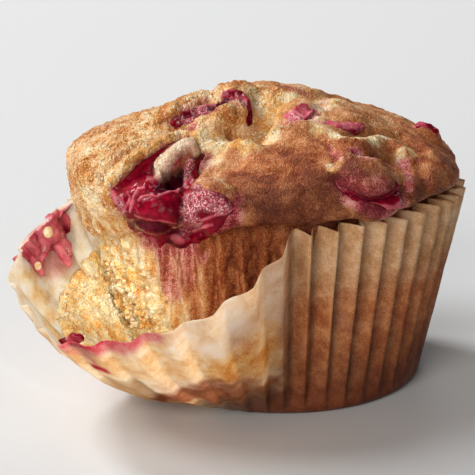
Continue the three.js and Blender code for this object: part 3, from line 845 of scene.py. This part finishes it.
def add_burst_berry(tree, material):
    body = [
        (139, 199), (146, 195), (156, 195), (166, 191), (177, 192), (184, 200), (184, 211), (181, 221),
        (168, 223), (152, 220), (139, 218), (133, 212), (134, 204)]
    pulp = [
        (184, 194), (192, 190), (202, 189), (214, 192), (225, 197), (232, 204), (236, 209), (227, 214),
        (214, 216), (203, 220), (195, 226), (189, 231), (183, 226), (180, 215), (182, 204)]
    under = [
        (130, 224), (150, 225), (172, 229), (186, 236), (205, 232), (222, 221), (226, 225), (212, 236),
        (190, 244), (178, 248), (160, 240), (142, 232)]
    hollow = [
        (146, 172), (156, 166), (162, 176), (172, 170), (184, 164), (187, 176), (183, 188), (172, 191),
        (156, 188), (147, 184)]
    band = [
        (113, 190), (124, 182), (138, 171), (150, 160), (160, 152), (172, 146), (184, 142), (168, 152),
        (158, 162), (154, 172), (146, 182), (134, 190), (122, 196)]
    left_fold = [(128, 193), (131, 197), (129, 203), (126, 208), (124, 214)]
    inner_fold = [(145, 188), (139, 189), (136, 194), (133, 202), (131, 211)]
    top_fold = [(140, 201), (144, 197), (151, 195), (158, 198), (163, 195), (170, 192), (177, 192)]
    foot_fold = [(136, 215), (148, 218), (164, 220), (178, 223)]
    pulp_fold = [(204, 219), (214, 216), (225, 213), (236, 208)]
    end_fold = [(194, 231), (203, 227), (213, 224)]
    domes = [(body, 8, 0.65), (pulp, 6, 0.6), (under, 6, 0.6), (hollow, 6, -1.6), (band, 6, -0.6)]
    ridges = [
        ([(160, 176), (163, 167), (170, 159), (179, 152), (188, 149)], 7.0, 2.3),
        ([(193, 141), (197, 148), (193, 153)], 2.6, 0.7),
        (left_fold, 1.3, 0.45),
        (inner_fold, 1.4, 0.5),
        ([(146, 190), (141, 196), (138, 201)], 1.2, 0.3),
        (top_fold, 1.3, 0.4),
        (foot_fold, 1.2, 0.25),
        ([(132, 221), (146, 223), (160, 225), (174, 228)], 1.6, -0.25),
        ([(183, 201), (186, 195), (192, 191), (199, 191)], 1.2, 0.32),
        (pulp_fold, 1.3, 0.3),
        (end_fold, 1.3, 0.28),
        ([(150, 176)], 3.4, 0.9),
        ([(178, 190), (182, 185)], 1.8, 0.6),
        ([(184, 180), (187, 170), (191, 162)], 2.2, 0.9),
        ([(182, 205), (184, 214), (180, 222)], 1.8, -0.5),
        ([(172, 200)], 2.2, 0.3),
    ]
    # Painted shade in the hollows and on the dark side of the flesh, painted pink highlights along the folds,
    # then sugar frost, flour and tan.
    looks = {
        "hollow_shade": [
            ([(160, 187), (172, 183), (180, 174)], 8, 0.95), ([(180, 203), (182, 214), (177, 222)], 4, 0.8),
            ([(134, 223), (150, 226), (166, 228), (178, 234)], 4, 0.75), ([(152, 168), (157, 160)], 3, 0.5),
            ([(203, 155), (195, 159)], 3, 0.7), ([(170, 240), (180, 248)], 5, 0.45),
            ([(168, 206), (176, 212)], 5, 0.35)],
        "sheen_and_glow": [
            ([(151, 240), (156, 250), (160, 260)], 4, 0.6), ([(150, 176)], 4, 0.5),
            ([(176, 236), (181, 240)], 3.5, 0.5), ([(112, 193), (113, 202)], 3.5, 0.8),
            ([(160, 176), (174, 170)], 3, 0.3),
            (left_fold, 1.3, 0.6), (inner_fold, 1.3, 0.7), (top_fold, 1.2, 0.65),
            (foot_fold, 1.2, 0.35), (pulp_fold, 1.5, 0.7), (end_fold, 1.5, 0.6)],
        "frost": [
            ([(188, 212), (196, 202), (208, 200), (222, 206)], 9, 0.95), ([(190, 228), (199, 221)], 4.5, 0.9),
            ([(119, 200), (123, 210)], 4, 0.6), ([(184, 182), (187, 172), (191, 162)], 4, 0.85),
            ([(179, 189)], 3, 0.8), ([(182, 226), (186, 232)], 4, 0.6), ([(196, 186), (203, 190)], 4, 0.8)],
        "flour": [
            ([(161, 172), (168, 160), (177, 151), (188, 147)], 7.5, 1.0),
            ([(193, 141), (198, 149), (194, 154)], 4, 1.0)],
        "tan": [([(174, 172), (183, 163), (191, 154)], 2.6, 0.45)],
    }
    nodes = ["berry_front", "berry_front_skin", "berry_front_pulp"]
    add_relief("burst_berry", nodes, tree, BERRY_OUTLINES["burst_berry"], domes, ridges, looks, material,
        wrinkle=0.1)


def add_crest_berry(tree, material):
    ridges = [
        ([(178, 114), (188, 112), (198, 109), (212, 106)], 1.4, 0.4),
        ([(184, 122), (198, 118), (210, 112)], 1.5, 0.4),
        ([(225, 94), (234, 92), (243, 95), (248, 104), (250, 116)], 2.4, 0.6),
        ([(232, 98), (234, 105)], 1.4, 0.4),
        ([(172, 124), (176, 119)], 2.2, 0.5), ([(186, 117), (204, 111), (220, 104)], 1.8, -0.7),
        ([(238, 101)], 2.4, 0.5),
    ]
    # Painted shade in the grooves, painted pink highlights along the ridges, and sugar frost.
    looks = {
        "hollow_shade": [
            ([(208, 109), (216, 106), (225, 102)], 3.4, 0.9), ([(248, 114), (251, 124)], 3, 0.75),
            ([(194, 116), (206, 113)], 1.6, 0.5)],
        "sheen_and_glow": [
            ([(222, 95), (232, 91)], 2.5, 0.5), ([(196, 107), (214, 104)], 1.8, 0.7),
            ([(178, 113), (190, 111)], 1.6, 0.4)],
        "frost": [
            ([(179, 120), (190, 119)], 4.5, 0.85), ([(193, 112), (205, 108)], 2.4, 0.8),
            ([(237, 99), (242, 104)], 3.6, 0.95), ([(204, 118), (214, 113)], 2.2, 0.7),
            ([(230, 102), (233, 106)], 2, 0.6)],
    }
    add_relief("crest_berry", ["berry_crest_left", "berry_crest_right"], tree, BERRY_OUTLINES["crest_berry"],
        [], ridges, looks, material)


def add_small_berries(tree, material):
    ridges = [
        ([(295, 109), (301, 105), (307, 106)], 1.6, 0.4), ([(287, 118), (293, 115), (299, 119)], 1.6, 0.4),
        ([(304, 123), (309, 116), (314, 111)], 1.4, 0.5), ([(302, 112), (306, 114)], 1.8, -0.5)]
    # Painted shade along the lower edge, painted pink highlights across the skin, and sugar frost.
    looks = {
        "hollow_shade": [([(292, 124), (297, 126)], 2, 0.4)],
        "sheen_and_glow": [([(286, 118), (294, 114), (302, 112), (310, 112)], 7, 0.85)],
        "frost": [([(293, 118), (299, 120)], 4, 0.85), ([(299, 107), (304, 110)], 2, 0.6)],
    }
    add_relief("pink_berry", ["berry_middle"], tree, BERRY_OUTLINES["pink_berry"], [], ridges, looks,
        material)
    ridges = [([(328, 123), (340, 126), (352, 125), (360, 127)], 1.6, 0.4),
        ([(356, 123), (363, 128)], 1.2, 0.3)]
    # Painted shade along the lower edge, painted pink highlights across the skin, and sugar frost.
    looks = {
        "hollow_shade": [([(340, 130), (348, 132)], 1.2, 0.3)],
        "sheen_and_glow": [([(328, 123), (342, 124), (356, 125)], 5, 0.85)],
        "frost": [([(357, 125), (363, 129)], 2.2, 0.7)],
    }
    add_relief("berry_streak_skin", ["berry_streak"], tree, BERRY_OUTLINES["berry_streak_skin"], [], ridges,
        looks, material)
    ridges = [([(340, 184), (350, 194), (362, 200), (376, 201), (390, 199), (398, 190)], 1.8, -0.6),
        ([(396, 196), (399, 208)], 2.0, 0.3)]
    # Painted shade along the groove under the lump, and painted pink highlights.
    looks = {
        "hollow_shade": [([(352, 194), (364, 198), (378, 200), (388, 197)], 2.0, 0.6)],
        "sheen_and_glow": [([(360, 203), (380, 207), (396, 208), (401, 200)], 2.8, 0.45),
            ([(338, 184), (344, 189)], 3.0, 0.5)],
    }
    add_relief("crescent_berry", ["berry_right"], tree, BERRY_OUTLINES["crescent_berry"], [], ridges, looks,
        material)


def round_lumps(tree, line, first, last, flat):
    """Round lumps along a line of the photograph, their radius going from first to last millimetres."""
    stops = [spot(tree, px, py) for px, py in line]
    made = []
    for i, ((start, up), (end, end_up)) in enumerate(zip(stops[:-1], stops[1:])):
        count = max(1, math.ceil((end - start).length / MM / (0.6 * min(first, last))))
        for j in range(count + 1):
            share = (i + j / count) / (len(stops) - 1)
            normal = up.lerp(end_up, j / count)
            turn = normal.to_track_quat("Z", "Y").to_euler()
            bpy.ops.mesh.primitive_ico_sphere_add(
                subdivisions=3, radius=(first + (last - first) * share) * MM,
                location=start.lerp(end, j / count), rotation=turn, scale=(1, 1, flat))
            made.append(bpy.context.object)
    return made


def add_lump_berry(name, node, tree, line, first, last, flat, material):
    core = copy_of_node(node, name)
    apply_modifier(core, "DISPLACE", strength=-0.3 * MM, mid_level=0.0)
    piece = join(name, [core, *round_lumps(tree, line, first, last, flat)])
    apply_modifier(piece, "REMESH", mode="VOXEL", voxel_size=BERRY_VOXEL)
    apply_modifier(piece, "SMOOTH", factor=0.5, iterations=6)
    points = vertices_of(piece)
    folds = 1 - np.abs(grain(points, 1.4, 71, 2)) * 2.2
    move_vertices(piece, points + normals_of(piece) * (0.16 * folds * MM)[:, None])
    # Patches of painted pink sheen.
    sheen_and_glow = np.clip(0.2 + grain(points, 1.8, 72, 2), 0, 0.7)
    paint(piece, "sheen_and_glow", sheen_and_glow)
    finish_piece(piece, material, "red_berry", node)


# Paper case, from the sizes that its solid has

PLEATS = 44
PLEAT_FRONT = 7.5
PLEAT_RIGHT = 8.55
FIRST_NARROWER = 1.4
LEFT_END = 10
RIGHT_END = -12
FIRST_TURN = 1.6
FOOT_RADIUS = 25
FOOT_ROUND = 2.6
DISK_RADIUS = FOOT_RADIUS - FOOT_ROUND * 0.62
SLANT = 36.6
FLAP_LEAN = 44
FLAP_BOWL = 20
FOLD_AT = 0.76
HALF_STEPS = 6
WALL_ROWS = 72


def openness(turn):
    """How far the wall is peeled open, 0 where it still holds the cake."""
    rise = 1 - np.exp(-np.maximum(0, turn + 2) / 15)
    fall = 0.5 * falling(turn, 76, 3) + 0.5 * falling(turn, 96, 5)
    peeled = rise * fall * (1 - 0.004 * np.maximum(0, turn - 50)) + 0.1 * bell(turn, 44, 12)
    return np.where((turn < -3) | (turn > 135), 0, peeled)


def wrap(turn):
    return (turn + 540) % 360 - 180


def wall_length(turn):
    pull = 1.8 * bell(turn, 70, 17)
    return SLANT + 1.1 * np.cos(np.radians(turn + 24)) + 0.25 * np.sin(np.radians(turn * 11)) + pull


def wall_profile(turn, distance):
    """Radius, height and lean of the wall at a turn and a distance up from its foot, in millimetres."""
    peeled = openness(turn)
    held = 13 - 2.4 * bell(turn, -38, 34)
    mean = held + FLAP_LEAN * peeled
    bowl = FLAP_BOWL * peeled
    parts = 24
    step = distance / parts
    radius = np.full_like(distance, DISK_RADIUS)
    height = np.zeros_like(distance)
    for i in range(parts):
        s = (i + 0.5) * step
        bend = mean + bowl * (1 - 2 * s / SLANT)
        lean = bend + (90 - bend) * np.maximum(0, 1 - s / FOOT_ROUND) ** 1.2
        radius = radius + step * np.sin(np.radians(lean))
        height = height + step * np.cos(np.radians(lean))
    return radius, height, np.radians(lean)


def pleat_columns():
    """Turn, share of the fold (0 outside, 1 inside) and pitch of each column of paper."""
    left_span = PLEAT_FRONT * LEFT_END - FIRST_NARROWER
    back = (360 - left_span + PLEAT_RIGHT * RIGHT_END) / (PLEATS - (LEFT_END - RIGHT_END))
    turn = FIRST_TURN + PLEAT_RIGHT * RIGHT_END
    columns = []
    for k in range(RIGHT_END, RIGHT_END + PLEATS):
        pitch = PLEAT_RIGHT if k < 0 else PLEAT_FRONT if k < LEFT_END else back
        if k == 0:
            pitch -= FIRST_NARROWER
        for j in range(2 * HALF_STEPS):
            across = j / HALF_STEPS
            fold = across if across <= 1 else 2 - across
            part = FOLD_AT * across if across <= 1 else FOLD_AT + (1 - FOLD_AT) * (across - 1)
            columns.append((wrap(turn + pitch * part), fold, pitch, k))
        turn += pitch
    return np.array(columns).T


def pleated_wall():
    """Points of the wall, and the turn, fold, distance from the foot and openness of each."""
    turn, fold, pitch, pleat = (np.tile(column, (WALL_ROWS, 1)) for column in pleat_columns())
    rows = np.linspace(0, 1, WALL_ROWS) ** 0.92
    distance = rows[:, None] * wall_length(turn)
    radius, height, lean = wall_profile(turn, distance)
    peeled = openness(turn)

    flat_half = (DISK_RADIUS + distance) * math.pi / PLEATS
    held_half = (radius - 1) * np.radians(pitch) / 2
    depth = np.sqrt(np.maximum(0.05, flat_half ** 2 - held_half ** 2))
    depth = depth * np.clip((distance - 0.8) / 3, 0, 1) * (1 - 0.55 * peeled)
    uneven = 1 + 0.12 * np.sin(pleat * 2.7) + 0.06 * np.sin(pleat * 5.3 + distance * 0.2)
    knife = fold + 0.10 * np.sin(math.pi * fold)
    soft = (1 - np.cos(math.pi * fold)) / 2
    bent = knife + (soft - knife) * np.clip(peeled * 1.6, 0, 1)
    inward = depth * bent * uneven
    radius = radius - inward * np.cos(lean)
    height = height + inward * np.sin(lean)
    x = -radius * np.sin(np.radians(turn))
    y = -radius * np.cos(np.radians(turn))
    points = np.stack([x, y, height], -1).reshape(-1, 3) * MM

    # Crumples of the peeled flap and the slight waviness of the held wall
    across = np.stack([
        -np.sin(np.radians(turn)) * np.cos(lean), -np.cos(np.radians(turn)) * np.cos(lean),
        -np.sin(lean)], -1)
    across = across.reshape(-1, 3)
    high = smooth_step(distance, 3, 12).ravel()
    wave = (grain(points, 8, 31, 2) * 0.32 * peeled.ravel()
        + grain(points, 3.4, 32, 2) * (0.09 + 0.07 * peeled.ravel()))
    return points + across * (wave * high * MM)[:, None], turn, fold, distance, peeled


def add_paper_case(material):
    """The pleated wall with a base disc inside its foot, given the thickness of paper."""
    points, turn, fold, distance, peeled = pleated_wall()
    count = turn.shape[1]
    disc_rings = [0.25, 0.5, 0.75]
    first = points[:count]
    disc = [first * [share, share, 0] for share in disc_rings]
    verts = np.concatenate([[[0, 0, 0]], *disc, points])
    rings = len(disc_rings) + WALL_ROWS
    faces = [(0, 1 + j, 1 + (j + 1) % count) for j in range(count)]
    for i in range(rings - 1):
        for j in range(count):
            a = 1 + i * count + j
            b = 1 + i * count + (j + 1) % count
            faces.append((a, a + count, b + count, b))
    mesh = bpy.data.meshes.new("pleated_case")
    mesh.from_pydata(verts.tolist(), [], faces)
    case = bpy.data.objects.new("pleated_case", mesh)
    bpy.context.collection.objects.link(case)
    paint_case(case, 1 + len(disc_rings) * count, points, turn, fold, distance, peeled)
    apply_modifier(case, "SOLIDIFY", thickness=PAPER_THICK, offset=-1)
    finish_piece(case, material, "case_paper", "paper_case")
    return case


def paint_case(case, lead, points, turn, fold, s, peeled):
    """Where the cake shows through, where it is baked dark, where crumb and juice stick, and the painted
    highlight and shade of the folds.
    The first lead points are the base, and s is the distance up the wall from the foot."""
    def whole(values, base):
        return np.concatenate([np.full(lead, base), np.asarray(values).ravel()])
    tree = tree_of(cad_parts["paper_case"])
    blot = grain(points, 5, 33, 3).reshape(turn.shape)
    speck = grain(points, 1.8, 34, 2).reshape(turn.shape)
    held = 1 - np.clip(peeled * 3.0, 0, 1)
    rim = smooth_step(s + 1.5 * blot, 20, 33)
    browned = held * (1.0 - 0.92 * rim + 0.2 * blot)
    # On the flap, the tan towards the front is painted shade where the paper turns away from the light.
    tanned = 0.08 + 0.25 * (1 - smooth_step(turn, 4, 30)) * (1 - held) + 0.3 * blot
    tanned = np.clip(held * (1 - 0.1 * rim) + tanned, 0, 1) * (1 - smooth_step(turn, 66, 80) * (1 - held))
    low = 1 - smooth_step(s + 1.5 * blot + 1.5 * speck, 5, 12)
    baked = np.clip(
        0.95 * low * (1 - 0.8 * smooth_step(turn, 14, 40) * (1 - held)) + 0.12 * held * blot, 0, 1)
    baked = np.maximum(baked, 0.85 * held * (1 - smooth_step(s + 2 * blot, 3, 22)))
    golden = np.clip(peeled * 3, 0, 1) * (1 - smooth_step(s + 4.0 * blot + 4.0 * speck, 8, 19)) * 0.6
    crumbed = np.maximum(golden.ravel(),
        near_lines(points, tree, PAPER_GOLD, 1.0 * blot.ravel() + 1.6 * speck.ravel()))
    browned = np.maximum(browned.ravel(),
        near_lines(points, tree, PAPER_BROWN, 1.2 * speck.ravel() + 0.8 * blot.ravel()))
    juice = near_lines(points, tree, PAPER_JUICE, 0.6 * blot.ravel())
    # Painted highlight on the outer fold ridges and painted shade in the inner folds of the held wall, less
    # of it near the rim.
    ridge_highlight = smooth_step(1 - fold, 0.8, 0.98)
    groove_shade = smooth_step(fold, 0.7, 1.0)
    fold_highlight_shade = 1 + (np.clip(held + 0.25, 0, 1) * (0.10 * ridge_highlight - 0.42 * groove_shade * (1 - 0.6 * rim))
        * smooth_step(s, 3, 10))
    looks = {
        "browned": np.clip(browned, 0, 1), "baked": baked, "backed": held * (1 - 0.2 * rim),
        "tanned": tanned, "fold_highlight_shade": fold_highlight_shade}
    for look, share in looks.items():
        paint(case, look, whole(share, 1.0))
    paint(case, "crumbed", whole(np.clip(crumbed, 0, 1), 0.0))
    paint(case, "juice", whole(juice, 0.0))


def near_lines(points, tree, lines, shift):
    """Share of 0 to 1 near lines of the photograph: (line, half width in millimetres, most)."""
    share = np.zeros(len(points))
    for line, width, most in lines:
        away = away_from(points, line_on(tree, line)) + shift
        share = np.maximum(share, most * (1 - smooth_step(away, width * 0.45, width * 1.4)))
    return share


PAPER_JUICE = [
    ([(88, 347), (98, 344), (110, 342), (122, 342)], 1.2, 1.0),
    ([(94, 348), (106, 343), (118, 344), (128, 341)], 2.4, 0.8),
    ([(130, 342), (143, 338), (156, 334)], 1.9, 0.62),
    ([(66, 349), (80, 352), (92, 358)], 1.6, 0.4),
    ([(87, 349), (94, 355)], 0.45, 1.0),
    ([(96, 366), (105, 368)], 0.9, 1.0),
    ([(62, 345), (82, 345)], 1.3, 0.9),
    ([(40, 240), (52, 256), (58, 262)], 3.0, 0.4),
]
PAPER_BROWN = [
    ([(172, 396), (204, 394), (240, 402), (290, 406)], 3.4, 0.72),
    ([(200, 388), (222, 386), (252, 390), (284, 386)], 2.6, 0.6),
    ([(276, 380), (288, 366), (292, 340)], 1.4, 0.7),
]
PAPER_GOLD = [
    ([(228, 372), (252, 362), (272, 350)], 4.4, 0.9),
    ([(240, 352), (256, 342), (272, 332)], 2.4, 0.55),
    ([(156, 346), (158, 360)], 1.8, 0.6),
    ([(110, 366), (150, 368), (196, 372)], 4.5, 0.5),
    ([(70, 354), (84, 364)], 1.6, 0.5),
    ([(26, 274), (36, 284)], 1.3, 0.8),
    ([(42, 298), (52, 312), (56, 332)], 2.0, 0.6),
]


# Crumb on the flap

def add_stuck_crumb(material):
    crumb = copy_of_node("stuck_crumb", "torn_crumb")
    apply_modifier(crumb, "REMESH", mode="VOXEL", voxel_size=CRUMB_VOXEL)
    apply_modifier(crumb, "SMOOTH", factor=0.5, iterations=8)
    points = vertices_of(crumb)
    normals = normals_of(crumb)
    lumps = grain(points, 4.2, 41, 3)
    crumbs = grain(points, 1.6, 42, 3)
    holes = np.clip(1 - cells(points, 2.4, 43) / 0.42, 0, 1)
    up = smooth_step(normals[:, 2], -0.2, 0.3)
    lift = up * (0.5 + 0.5 * lumps + 0.3 * crumbs - 0.7 * holes)
    move_vertices(crumb, points + normals * (lift * MM)[:, None])
    paint(crumb, "torn", np.clip(1.0 + 0.6 * grain(points, 2.6, 44, 3), 0, 1))
    paint(crumb, "rough", np.full(len(points), 0.45))
    # Holes painted darker as painted shade.
    paint(crumb, "pit_shade", np.clip(0.9 * holes, 0, 1))
    finish_piece(crumb, material, "pale_crumb", "stuck_crumb")
    return crumb


def add_loose_crumbs(tree, material):
    """Crumbs lying on the torn sides and sugar-sized grains on the left lobe, one mesh."""
    bpy.ops.mesh.primitive_ico_sphere_add(subdivisions=2, radius=1)
    ball = bpy.context.object
    ball_points = vertices_of(ball)
    ball_faces = [list(face.vertices) for face in ball.data.polygons]
    bpy.ops.object.delete()
    verts, faces, tones = [], [], []
    for outline, count, small, large in CRUMB_FIELDS:
        xs, ys = zip(*outline)
        while count:
            px, py = random.uniform(min(xs), max(xs)), random.uniform(min(ys), max(ys))
            if inside_of(np.array([px]), np.array([py]), outline)[0] < 0:
                continue
            count -= 1
            place, normal = spot(tree, px, py)
            size = random.uniform(small ** 0.5, large ** 0.5) ** 2 * MM
            shape = ball_points * [random.uniform(0.7, 1.2), random.uniform(0.7, 1.2),
                random.uniform(0.6, 1.0)]
            shape = shape * (1 + 0.22 * grain(shape * MM, 0.7, len(verts), 1))[:, None]
            turn = np.array(Euler([random.uniform(0, 6.3) for _ in range(3)]).to_matrix())
            faces.extend([start + len(verts) * len(ball_points) for start in face] for face in ball_faces)
            verts.append(shape @ turn * size + np.array(place + normal * size * 0.35))
            tones.extend([random.uniform(0.55, 1)] * len(ball_points))
    mesh = bpy.data.meshes.new("loose_crumbs")
    mesh.from_pydata(np.concatenate(verts).tolist(), [], faces)
    piece = bpy.data.objects.new("loose_crumbs", mesh)
    bpy.context.collection.objects.link(piece)
    paint(piece, "torn", tones)
    paint(piece, "rough", np.ones(len(tones)))
    finish_piece(piece, material, "pale_crumb")


# Outline in the photograph, number, smallest and largest radius in millimetres
CRUMB_FIELDS = [
    ([(60, 292), (70, 282), (84, 276), (104, 272), (120, 286), (134, 316), (120, 330), (92, 336),
        (74, 338), (62, 318)], 250, 0.14, 0.46),
    ([(100, 262), (112, 258), (126, 280), (140, 304), (150, 326), (128, 328), (112, 300)], 300, 0.2, 0.66),
    ([(72, 164), (100, 132), (150, 108), (168, 122), (148, 146), (112, 176), (106, 206), (92, 200),
        (78, 184)], 260, 0.12, 0.26),
    ([(214, 148), (240, 140), (266, 128), (290, 124), (262, 140), (236, 148)], 70, 0.1, 0.22),
]


def add_flap_berries(paper_tree, material, seeds):
    outline = [
        (57, 209), (48, 213), (40, 220), (34, 229), (25, 235), (17, 246), (22, 255), (28, 262), (34, 269),
        (41, 278), (46, 276), (43, 267), (44, 259), (49, 252), (54, 250), (58, 257), (64, 265), (70, 271),
        (72, 257), (71, 244), (66, 237), (70, 228), (71, 219), (66, 212)]
    domes = [(outline, 3, 0.75), ([(48, 222), (58, 226), (60, 240), (46, 246), (38, 236)], 6, 0.7)]
    ridges = [
        ([(57, 210), (60, 222), (64, 234), (60, 241), (52, 246)], 1.5, -0.7),
        ([(60, 218), (66, 232)], 1.4, 0.5), ([(24, 240), (36, 250), (44, 256)], 1.6, 0.4),
        ([(58, 246), (68, 262)], 1.6, 0.4), ([(34, 232), (40, 246), (38, 258)], 1.5, -0.5),
        ([(20, 247), (30, 258), (40, 270)], 1.5, 0.3)]
    # Painted pink glow of light through the thin skin, and a little sugar frost.
    looks = {
        "sheen_and_glow": [
            ([(56, 216), (40, 234), (28, 250), (40, 268)], 14, 0.75), ([(58, 240), (68, 262)], 9, 0.9),
            ([(62, 214), (68, 224)], 5, 0.9), ([(60, 246), (68, 262)], 6, 0.85),
            ([(22, 247), (34, 262)], 5, 0.65), ([(44, 216), (54, 214)], 4, 0.5),
            ([(42, 252), (44, 262)], 4, 0.7), ([(30, 240), (38, 230)], 4, 0.4), ([(42, 272)], 4, 0.7)],
        "frost": [([(64, 250), (68, 256)], 4, 0.4), ([(42, 250)], 3, 0.4)],
    }
    leaf = add_relief("flap_berry_leaf", ["berry_flap_back"], paper_tree, outline, domes, ridges, looks,
        material)
    add_lump_berry("flap_berry_rim", "berry_flap_front", paper_tree, [(62, 344), (70, 340), (80, 342)], 0.9,
        0.7, 0.7, material)

    leaf_tree = tree_of(leaf)
    made = []
    for (px, py), long in zip([(48, 232), (38, 266)], [1.2, 0.85]):
        place, normal = spot(leaf_tree, px, py)
        turn = normal.to_track_quat("Z", "Y").to_euler()
        bpy.ops.mesh.primitive_uv_sphere_add(segments=16, ring_count=10, radius=long * MM, location=place,
            rotation=turn)
        seed = bpy.context.object
        seed.scale = (0.8, 1.0, 0.55)
        made.append(seed)
    finish_piece(join("berry_seeds", made), seeds, "pale_crumb")


add_camera()
add_floor()
add_light()

crumb_grain = grain_group()
crust = crust_material()
berry_skin = berry_material()
case_paper = paper_material()
seed_shell = seed_material()

muffin_cake = bare_cake()
cake_tree = shape_cake(muffin_cake)
finish_piece(muffin_cake, crust, "baked_crust", "muffin")
add_burst_berry(cake_tree, berry_skin)
add_crest_berry(cake_tree, berry_skin)
add_small_berries(cake_tree, berry_skin)
add_lump_berry("edge_berry", "berry_edge", cake_tree, [(419, 123), (427, 126), (435, 131)], 1.0, 0.9, 0.5,
    berry_skin)
pleated_case = add_paper_case(case_paper)
stuck_crumb = add_stuck_crumb(crust)
add_loose_crumbs(tree_of(muffin_cake, stuck_crumb, pleated_case), crust)
add_flap_berries(tree_of(pleated_case), berry_skin, seed_shell)
